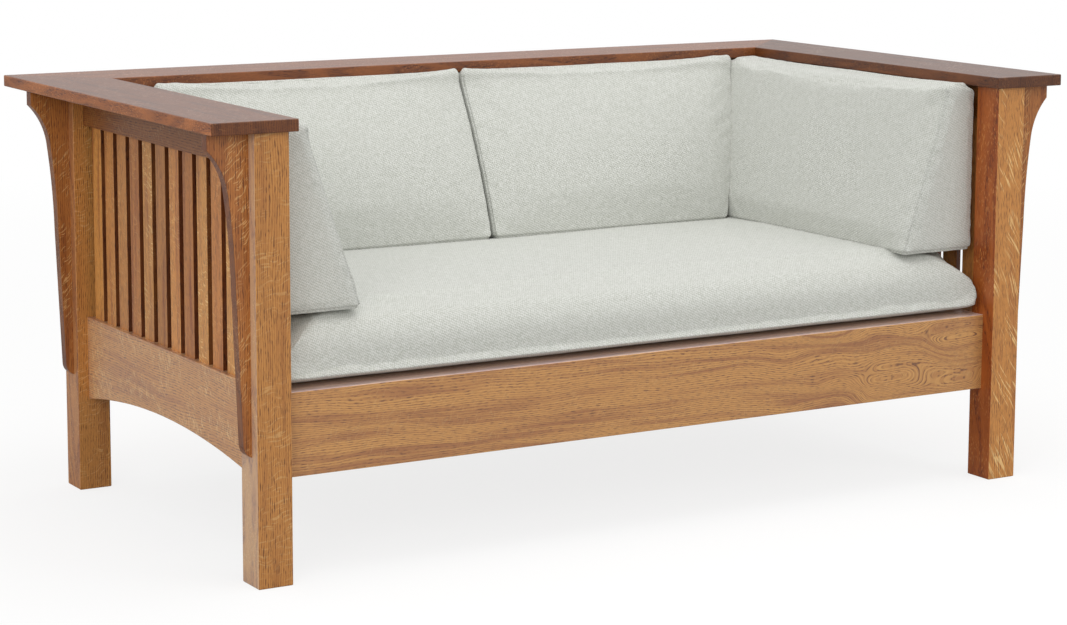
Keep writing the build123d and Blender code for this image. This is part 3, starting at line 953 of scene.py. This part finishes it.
@dataclass
class SeatCushion(Cushion):
    """The long seat: soft over its front, sloping at its ends, slightly domed and flat on the deck."""

    node: str = "seat_cushion"
    body: str = "seat_cushion_body"
    spacing: float = 12.0
    turn_steps: int = 6
    corner: Turn = field(default_factory=lambda: Turn(10, 10, 10, 10))
    foot: Turn = field(default_factory=lambda: Turn(40, 40, 60, 40))
    roll: Turn = field(default_factory=lambda: Turn(24, 24, 24, 24))
    foot_rise: float = 30.0
    foot_edge: float = 0.5
    roll_rise: float = 62.0
    lift: float = 3.0
    spill_high: tuple[float, float, float] = (0.0, 0.0, 7.0)
    roll_depth: float = 42.0
    end_depth: float = 100.0
    end_rise: float = 44.0
    end_front: float = -385.0
    end_rear: float = -320.0
    end_rear_depth: float = 22.0
    dome: float = 9.0
    dome_middle: float = -240.0
    dome_front: float = 121.0
    dome_rear: float = 400.0
    dome_flat: float = 430.0
    dome_side: float = 170.0

    def outline(self, height: float) -> Plan:
        """The outline, drawn in over the front's roll and along the sloping ends.

        Args:
            height: The height, in millimetres.

        Returns:
            The outline there.
        """
        plain = super().outline(height)
        fallen = 1 - math.sqrt(1 - share_of(height, self.top - self.roll_rise, self.top) ** 2)
        sloped = 1 - math.sqrt(1 - share_of(height, self.top - self.end_rise, self.top))
        across = self.end_depth * sloped - self.roll.x0 * fallen
        through = (self.roll_depth - self.roll.y0) * fallen
        return Plan(plain.x0 + across, plain.x1 - across, plain.y0 + through, plain.y1 - through)

    def swing(self, turns: list[float], facing: Vector, turn: Turn) -> Vector:
        """Round a point's edge; the foot is a crisp seam, drawn up a little, that slopes back to the deck.

        Args:
            turns: How far the point has gone round the edge each way.
            facing: The way that a round edge faces there.
            turn: The reach of the turn at the point's height.

        Returns:
            How far the point has swung each way, as shares of the turn.
        """
        if turns[2] >= 0:
            return facing
        level = Vector((turns[0], turns[1]))
        reach = max(abs(turns[0]), abs(turns[1]))
        rounded = level * (reach / level.length) if reach else level
        corner = self.corner
        x = turns[0] + corner.x0 / max(turn.x0, 1) * (rounded.x - turns[0])
        y = turns[1] + corner.y0 / max(turn.y0 if turns[1] < 0 else turn.y1, 1) * (rounded.y - turns[1])
        return Vector((x, y, turns[2] * (1 - self.foot_edge * reach)))

    def crown(self, spot: Vector, facing: Vector, shares: Vector) -> Vector:
        """The top is domed in front of the back cushions, and behind its front the seat's ends are fuller.

        Args:
            spot: The point, in millimetres.
            facing: The way that the cover faces there.
            shares: How far along the cushion the point lies each way.

        Returns:
            How far the point is pushed out.
        """
        beside = share_of(abs(spot.x), self.dome_flat, self.dome_flat + self.dome_side)
        if spot.y > self.dome_middle:
            away = min(1.0, (spot.y - self.dome_middle) / self.dome_rear)
        else:
            away = (self.dome_middle - spot.y) / self.dome_front
        level = (1 - away ** 2) * (1 - beside ** 2 * (3 - 2 * beside))
        sloped = 1 - math.sqrt(1 - share_of(spot.z, self.top - self.end_rise, self.top))
        fuller = (self.end_depth - self.end_rear_depth) * share_of(spot.y, self.end_front, self.end_rear)
        return Vector(((2 * shares.x - 1) * fuller * sloped, 0, self.dome * level * max(0.0, facing.z)))

    def is_seam(self, turns: tuple[float, float, float]) -> bool:
        """The cover is seamed round the foot and down the four upright edges.

        Args:
            turns: How far the point has gone round the edge each way.

        Returns:
            Whether two panels meet there.
        """
        across, through, up = turns
        upright = abs(across) == 1 and abs(through) == 1 and up <= 0
        return upright or (up == -1 and (abs(across) == 1 or abs(through) == 1))


@dataclass
class WedgeCushion(Cushion):
    """A cushion that is thick at its foot and thin at its top, where it rolls over under the cap."""

    hand: Hand = Hand.LEFT
    side_thickness: tuple[float, float] = (162.0, 70.0)
    back_thickness: tuple[float, float] = (183.0, 57.0)
    crown_depth: float = 4.0
    side_flare: float = 10.0
    cap_roll: float = 18.0
    cap_clear: float = 8.0
    cap_gap: float = 2.0
    cushion_gap: float = 1.0
    cap_fit: float = 1.5
    seam_top: float = 0.3

    def __post_init__(self) -> None:
        """Read the places of the cap and the frame round the cushion."""
        super().__post_init__()
        cap_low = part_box("back_cap")[0]
        arm_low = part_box("right_arm_cap")[0]
        self.cap_back = cap_low.y / MM
        self.cap_side = arm_low.x / MM
        self.roll_start = cap_low.z / MM - self.cap_roll
        self.inner_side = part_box("right_side_cushion")[1].x / MM
        self.inner_back = self.high.y

    def is_seam(self, turns: tuple[float, float, float]) -> bool:
        """The cover is seamed round its foot and down its upright edges, and its top rolls over plain."""
        return super().is_seam(turns) and turns[2] < self.seam_top

    def rise_share(self, height: float) -> float:
        """How far up the wedge a height is: 0 at its foot and 1 where it rolls over."""
        return share_of(height, self.low.z, self.roll_start)

    def thickness(self, sizes: tuple[float, float], height: float) -> float:
        """A wedge's thickness at a height, without its crown, from its sizes at the foot and at the top."""
        return sizes[0] + (sizes[1] - sizes[0]) * self.rise_share(height)

    def crown_share(self, height: float) -> float:
        """The share of the crown at a height: all of it half way up."""
        return 4 * self.rise_share(height) * (1 - self.rise_share(height))

    def under_cap(self, height: float, depth: float) -> float:
        """How far the hidden face has drawn in to pass in front of the cap."""
        start = self.roll_start + self.cap_roll - self.cap_clear
        return depth * share_of(height, start, start + self.cap_clear - self.cap_fit)

    def back_plane(self, height: float) -> float:
        """The cushion's rear face at a height."""
        return self.inner_back - self.under_cap(height, self.inner_back - self.cap_back + self.cap_gap)


@dataclass
class SideCushion(WedgeCushion):
    """The wedge at one end of the seat, which grows thicker from its front to the back cushion."""

    kink_lead: float = 10.0
    front_lead: float = 9.0
    corner_reach: tuple[float, float, float] = (16.0, 5.0, 10.0)
    foot_reach: tuple[float, float, float] = (14.0, 8.0, 12.0)
    roll_reach: tuple[float, float, float] = (18.0, 12.0, 12.0)

    def __post_init__(self) -> None:
        """Turn the soft edges to the sitter's side, and leave room for the flare and the front there."""
        super().__post_init__()
        self.corner = turned(self.hand, self.corner_reach)
        self.foot = turned(self.hand, self.foot_reach)
        self.roll = turned(self.hand, self.roll_reach)
        low, high = (self.side_flare, 0.0) if self.hand is Hand.RIGHT else (0.0, self.side_flare)
        self.spill_low, self.spill_high = (low, self.front_lead, 0.0), (high, 0.0, 0.0)

    def outline(self, height: float) -> Plan:
        """The outline, from the sloped face at its front to the plane of the legs.

        Args:
            height: The height, in millimetres.

        Returns:
            The outline there.
        """
        sign = self.hand.value
        slope = self.inner_side - self.thickness(self.side_thickness, height)
        outer = self.inner_side - self.under_cap(height, self.inner_side - self.cap_side + self.cap_gap)
        x0, x1 = sorted((sign * slope, sign * outer))
        return Plan(x0, x1, self.low.y - self.front_lead, self.back_plane(height))

    def crown(self, spot: Vector, facing: Vector, shares: Vector) -> Vector:
        """The sloped face runs inwards from the front to the back cushion, and swells a little.

        Args:
            spot: The point, in millimetres.
            facing: The way that the cover faces there.
            shares: How far along the cushion the point lies each way.

        Returns:
            How far the point is pushed out.
        """
        sign = self.hand.value
        inner = 1 - shares.x if sign > 0 else shares.x
        kink = self.inner_back - self.thickness(self.back_thickness, spot.z) - self.kink_lead
        flare = self.side_flare * share_of(spot.y, self.low.y, kink) * inner
        swell = self.crown_depth * self.crown_share(spot.z) * (1 - (2 * shares.y - 1) ** 2)
        return Vector((-sign * (flare + swell * max(0.0, -sign * facing.x)), 0, 0))

    def is_held(self, facing: Vector) -> bool:
        """The cover lies on the seat, against the slats and against the back cushion."""
        return facing.z < -FACES or facing.x * self.hand.value > FACES or facing.y > FACES


@dataclass
class BackCushion(WedgeCushion):
    """The wedge that fills half of the back, from the middle to a side cushion."""

    crown_depth: float = 20.0
    corner_reach: tuple[float, float, float] = (7.0, 11.0, 11.0)
    end_faces: float = 0.8

    def __post_init__(self) -> None:
        """Turn the tighter edge to the other back cushion."""
        super().__post_init__()
        self.corner = turned(self.hand, self.corner_reach)

    def outline(self, height: float) -> Plan:
        """The outline, its outer end along the side cushion's slope.

        Args:
            height: The height, in millimetres.

        Returns:
            The outline there.
        """
        sign = self.hand.value
        middle = self.low.x if sign > 0 else self.high.x
        side = self.thickness(self.side_thickness, height) + self.side_flare
        end = sign * (self.inner_side - side - self.cushion_gap)
        x0, x1 = sorted((middle, end))
        depth = self.thickness(self.back_thickness, height)
        depth += 0.5 * self.crown_depth * self.crown_share(height)
        return Plan(x0, x1, self.inner_back - depth, self.back_plane(height))

    def crown(self, spot: Vector, facing: Vector, shares: Vector) -> Vector:
        """The front swells towards its middle."""
        push = 0.5 * self.crown_depth * self.crown_share(spot.z) * (1 - (2 * shares.x - 1) ** 2)
        return Vector((0, -push * max(0.0, -facing.y), 0))

    def is_held(self, facing: Vector) -> bool:
        """The cover lies on the seat, against the back and against its neighbours."""
        return facing.z < -FACES or facing.y > FACES or abs(facing.x) > self.end_faces


class OakFrame:
    """The legs, rails, slats, corbels and caps, each dressed as its own board."""

    SLATS_PER_SIDE = 12
    SLAT_TONES = (0.02, 0.45)
    SLAT_REDS = (-0.08, 0.12)
    SLAT_FLECKS = (0.1, 0.3, 0.7)
    BACK_SLAT_WIDTH = 40.0
    BACK_SLAT_STEPS = 24

    def __init__(self, nodes: dict[str, bpy.types.Object]) -> None:
        """Keep the frame's nodes.

        Args:
            nodes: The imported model's nodes by name.
        """
        self.nodes = nodes

    def dress(self, name: str, stain: OakStain, board: Board) -> None:
        """Give one node the look of the board that it was cut from.

        Args:
            name: The node's name.
            stain: The stain and topcoat.
            board: How the board was sawn.
        """
        low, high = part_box(name)
        finish = OakFinish(stain, board, tuple((low + high) / 2))
        self.nodes[name].material_slots[0].material = finish.material(name)
        log.info("%s: %s, grain along %s", name, stain.name, board.grain.name.lower())

    def dress_legs(self) -> None:
        """The legs are quartered: fine flecks across the left ones, long ones down the right ones."""
        looks = {
            # Painted light on the legs' side faces: a painted sheen, paler and pinker, on the front left leg
            # and a little on the rear left one, and painted shade, darker and redder, on the front right one.
            "front_left": dict(tone=-0.05, fleck_slant=78, fleck_scale=1.5, fleck_amount=0.35,
                               edge=Edge(Axis.WIDTH, 0.35, -0.2, 0.28)),
            "front_right": dict(tone=0.12, fleck_slant=-30, fleck_scale=4.0, fleck_amount=0.9,
                                edge=Edge(Axis.WIDTH, -0.36, 0.44)),
            "rear_left": dict(tone=0.1, fleck_slant=70, fleck_scale=1.2, fleck_amount=0.4,
                              edge=Edge(Axis.WIDTH, -0.1, 0.1, 0.05)),
            "rear_right": dict(tone=0.05, fleck_slant=-40, fleck_scale=1.5, fleck_amount=0.7,
                               edge=Edge(Axis.WIDTH, -0.2, 0.15)),
        }
        for seed, (place, look) in enumerate(looks.items(), 11):
            self.dress(place + "_leg", FRAME_STAIN,
                       Board(Axis.HEIGHT, Axis.WIDTH, seed, ring_width=3.6, **look))

    def dress_corbels(self) -> None:
        """The corbels are quartered on their broad faces, and their curved edges are redder."""
        for seed, place in enumerate(("front_left", "front_right", "rear_left", "rear_right"), 21):
            self.dress(place + "_corbel", FRAME_STAIN,
                       Board(Axis.HEIGHT, Axis.WIDTH, seed, tone=-0.16, red=0.15, ring_width=3.8,
                             fleck_slant=45, fleck_amount=1.0, streak_amount=0.8,
                             edge=Edge(Axis.WIDTH, -0.45, 0.15)))

    def dress_caps(self) -> None:
        """The caps are plain boards with a dark stain, rubbed thin along their edges."""
        # Painted reflection: the back cap is painted lighter and the right arm cap darker, for the lamps'
        # sheen on their tops.
        looks = {"back_cap": (Axis.WIDTH, 0.3, Edge(Axis.DEPTH, 0.0, 0.0)),
                 "left_arm_cap": (Axis.DEPTH, -0.05, Edge(Axis.WIDTH, 1.7, -0.05)),
                 "right_arm_cap": (Axis.DEPTH, -0.3, Edge(Axis.WIDTH, 0.25, 0.05))}
        for seed, (name, (grain, tone, edge)) in enumerate(looks.items(), 31):
            self.dress(name, CAP_STAIN, Board(grain, edge.facing, seed, tone=tone, ring_width=4.0,
                                              streak_amount=0.8, edge=edge))

    def dress_rails(self) -> None:
        """The rails run level; the front one was sawn so that its rings swirl towards its right end."""
        # The front rail's top face is painted paler and pinker with painted sheen, a painted highlight where
        # it lies under the seat cushion, and the whole rail carries a little painted sheen.
        self.dress("front_rail", FRAME_STAIN,
                   Board(Axis.WIDTH, Axis.HEIGHT, 41, tone=0.06, red=-0.12, painted_sheen=0.05, ring_width=3.6,
                         taper=0.012, wander=9, lumps=42, lumps_from=150, fleck_amount=0.1,
                         streak_amount=0.8, edge=Edge(Axis.HEIGHT, 0.35, -0.12, 0.6)))
        for seed, hand in enumerate(("left", "right")):
            # The lower side rails carry a painted sheen.
            self.dress(hand + "_side_lower_rail", FRAME_STAIN,
                       Board(Axis.DEPTH, Axis.HEIGHT, 42 + seed, tone=0.26, red=-0.08, painted_sheen=0.14,
                             ring_width=4.2))
            # Painted shade: the upper side rails are painted darker and redder, as shade under the arm caps.
            self.dress(hand + "_side_upper_rail", FRAME_STAIN,
                       Board(Axis.DEPTH, Axis.HEIGHT, 44 + seed, tone=-0.42, red=0.2, ring_width=4.2))
        self.dress("back_upper_rail", FRAME_STAIN, Board(Axis.WIDTH, Axis.HEIGHT, 46, tone=-0.05))
        self.dress("back_lower_rail", FRAME_STAIN, Board(Axis.WIDTH, Axis.HEIGHT, 47))

    def dress_slats(self) -> None:
        """Each slat is its own board, from golden to red brown, with painted shade on its edges in the gaps.
        """
        for hand, first_seed in (("left", 50), ("right", 70)):
            for number in range(1, self.SLATS_PER_SIDE + 1):
                seed = first_seed + number
                chance = random.Random(seed)
                tone, red = chance.uniform(*self.SLAT_TONES), chance.uniform(*self.SLAT_REDS)
                # Painted shade: the edges that face the next slats are painted darker and redder, for the
                # gaps between them.
                self.dress(f"{hand}_slat_{number:02d}", FRAME_STAIN,
                           Board(Axis.HEIGHT, Axis.DEPTH, seed, tone=tone, red=red, ring_width=3.6,
                                 fleck_slant=70, fleck_amount=chance.choice(self.SLAT_FLECKS),
                                 streak_amount=0.9, edge=Edge(Axis.DEPTH, -0.74, 0.35)))
        low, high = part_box("back_slats")
        pitch = ((high.x - low.x) / MM - self.BACK_SLAT_WIDTH) / self.BACK_SLAT_STEPS
        self.dress("back_slats", FRAME_STAIN,
                   Board(Axis.HEIGHT, Axis.DEPTH, 99, ring_width=3.6, pitch=pitch, fleck_amount=0.35))

    def build(self) -> None:
        """Dress the whole frame."""
        self.dress_legs()
        self.dress_corbels()
        self.dress_caps()
        self.dress_rails()
        self.dress_slats()


class SeatDeck(OakFrame):
    """The boards that carry the seat, and their screws, dowels and blocks."""

    DECK_SLATS = 6

    def build(self) -> None:
        """Dress the deck."""
        for number in range(1, self.DECK_SLATS + 1):
            self.dress(f"deck_slat_{number}", DECK_STAIN, Board(Axis.DEPTH, Axis.HEIGHT, 130 + number))
        # The front bearer takes the frame's stain, painted paler and pinker with painted sheen: a painted
        # highlight on the strip below the seat cushion.
        self.dress("front_bearer", FRAME_STAIN,
                   Board(Axis.WIDTH, Axis.DEPTH, 141, tone=0.5, red=-0.18, painted_sheen=0.5, fleck_amount=0.3))
        self.dress("rear_bearer", DECK_STAIN, Board(Axis.WIDTH, Axis.DEPTH, 142))
        for seed, name in enumerate(("glue_blocks", "cap_dowels", "mitre_keys"), 151):
            self.dress(name, DECK_STAIN, Board(Axis.WIDTH, Axis.HEIGHT, seed))
        self.nodes["deck_screws"].material_slots[0].material = ZincFinish().material()
        log.info("deck_screws: zinc plated")


@dataclass(frozen=True)
class PhotoView:
    """The camera's place and aim, solved from the settle's own edges: metres and degrees."""

    place: tuple[float, float, float] = (-2.5576, -4.3029, 1.2080)
    yaw: float = 30.665
    fall: float = 8.456
    roll: float = 0.193
    lens: float = 93.86
    sensor: float = 36.0
    shift_up: float = -0.08

    def build(self) -> None:
        """Make the camera and make it the scene's own."""
        yaw, fall, roll = (math.radians(value) for value in (self.yaw, self.fall, self.roll))
        forward = Vector((math.sin(yaw) * math.cos(fall), math.cos(yaw) * math.cos(fall), -math.sin(fall)))
        level = Vector((math.cos(yaw), -math.sin(yaw), 0))
        upright = level.cross(forward)
        right = math.cos(roll) * level + math.sin(roll) * upright
        up = -math.sin(roll) * level + math.cos(roll) * upright
        data = bpy.data.cameras.new("photo_view")
        data.lens, data.sensor_width, data.shift_y = self.lens, self.sensor, self.shift_up
        camera = bpy.data.objects.new("photo_view", data)
        bpy.context.scene.collection.objects.link(camera)
        aim = Matrix((right, up, -forward)).transposed()
        camera.matrix_world = Matrix.Translation(self.place) @ aim.to_4x4()
        bpy.context.scene.camera = camera


@dataclass(frozen=True)
class Softbox:
    """A large soft lamp that looks at the settle's middle. Sizes in metres, power in watts."""

    name: str
    place: tuple[float, float, float]
    width: float
    height: float
    power: float
    middle: tuple[float, float, float] = (0.0, 0.0, 0.4)

    def build(self) -> None:
        """Hang the lamp."""
        data = bpy.data.lights.new(self.name, "AREA")
        data.shape = "RECTANGLE"
        data.size, data.size_y, data.energy = self.width, self.height, self.power
        lamp = bpy.data.objects.new(self.name, data)
        bpy.context.scene.collection.objects.link(lamp)
        lamp.location = self.place
        aim = Vector(self.middle) - Vector(self.place)
        lamp.rotation_mode = "QUATERNION"
        lamp.rotation_quaternion = aim.to_track_quat("-Z", "Y")


@dataclass(frozen=True)
class Studio:
    """A white room: a pale floor that keeps the shadow, a white surround and soft lamps. Lengths in metres.

    The floor's matt colour is darker as a light than as it is seen, so that it doesn't light the settle from
    below. Its glow grows from near the settle outwards, so that it runs into the white surround without an
    edge.
    """

    floor_colour: str = "#c0c0bf"
    seen_colour: str = "#fbfbfa"
    floor_reach: float = 40.0
    floor_glow: float = 0.8
    glow_start: float = 1.2
    glow_end: float = 4.5
    surround: float = 0.7
    lamps: tuple[Softbox, ...] = (
        Softbox("key_softbox", (-3.6, -3.6, 2.4), 2.2, 2.2, 60.0),
        Softbox("side_softbox", (2.6, -4.2, 2.0), 2.0, 2.0, 34.0),
        Softbox("top_softbox", (0.2, -0.3, 3.4), 3.0, 2.0, 43.0),
    )

    def floor_material(self) -> bpy.types.Material:
        """Build the floor's material, which is seen only from above.

        Returns:
            The material.
        """
        material, tree = new_material("matt white studio floor")
        seen = add_node(tree, "LightPath")["Is Camera Ray"]
        tint = add_node(tree, "Mix", {0: seen, 6: linear(self.floor_colour), 7: linear(self.seen_colour)},
                        data_type="RGBA")
        matt = add_node(tree, "BsdfDiffuse", {"Color": tint[2]})
        glow = add_node(tree, "Emission", {"Color": (1, 1, 1, 1), "Strength": 1.0})
        where = add_node(tree, "TexCoord")
        away = add_node(tree, "VectorMath", {0: where["Object"]}, operation="LENGTH")
        level = add_node(tree, "MapRange", {"Value": away["Value"], "From Min": self.glow_start,
                                            "From Max": self.glow_end, "To Min": self.floor_glow})
        share = add_node(tree, "Math", {0: seen, 1: level[0]}, operation="MULTIPLY")
        lit = add_node(tree, "MixShader", {0: share[0], 1: matt[0], 2: glow[0]})
        below = add_node(tree, "NewGeometry")["Backfacing"]
        both = add_node(tree, "MixShader", {0: below, 1: lit[0], 2: add_node(tree, "BsdfTransparent")[0]})
        add_node(tree, "OutputMaterial", {"Surface": both[0]})
        return material

    def build_floor(self) -> None:
        """Lay the floor."""
        reach = self.floor_reach
        data = bpy.data.meshes.new("studio_floor")
        data.from_pydata([(-reach, -reach, 0), (reach, -reach, 0), (reach, reach, 0), (-reach, reach, 0)], [],
                         [(0, 1, 2, 3)])
        data.materials.append(self.floor_material())
        floor = bpy.data.objects.new("studio_floor", data)
        bpy.context.scene.collection.objects.link(floor)

    def build_surround(self) -> None:
        """Make the room white to the camera and in gloss, and softer as a light."""
        world = bpy.data.worlds.new("white_room")
        bpy.context.scene.world = world
        world.use_nodes = True
        tree = world.node_tree
        tree.nodes.clear()
        rays = add_node(tree, "LightPath")
        seen = add_node(tree, "Math", {0: rays["Is Camera Ray"], 1: rays["Is Glossy Ray"]},
                        operation="MAXIMUM")
        through = add_node(tree, "Math", {0: seen[0], 1: rays["Is Transmission Ray"]}, operation="MAXIMUM")
        level = add_node(tree, "MapRange", {"Value": through[0], "To Min": self.surround, "To Max": 1.0})
        light = add_node(tree, "Background", {"Color": (1, 1, 1, 1), "Strength": level[0]})
        add_node(tree, "OutputWorld", {"Surface": light[0]})

    def build(self) -> None:
        """Build the floor, the surround and the lamps."""
        self.build_floor()
        self.build_surround()
        for lamp in self.lamps:
            lamp.build()
        bpy.context.scene.view_settings.view_transform = "Standard"


def main() -> None:
    """Build the studio, dress the frame and make the cushions, in that order."""
    logging.basicConfig(level=logging.INFO, format="%(name)s: %(message)s")
    PhotoView().build()
    Studio().build()
    OakFrame(frame["nodes"]).build()
    SeatDeck(frame["nodes"]).build()
    fabric = HopsackFinish().material()
    SeatCushion(fabric=fabric, seed=1).build()
    for hand in Hand:
        for kind, form, seed in (("side", SideCushion, 2), ("back", BackCushion, 6)):
            name = f"{hand.name.lower()}_{kind}_cushion"
            form(node=name, body=name + "_body", fabric=fabric, hand=hand, seed=seed + hand.value).build()


if __name__ == "__main__":
    main()
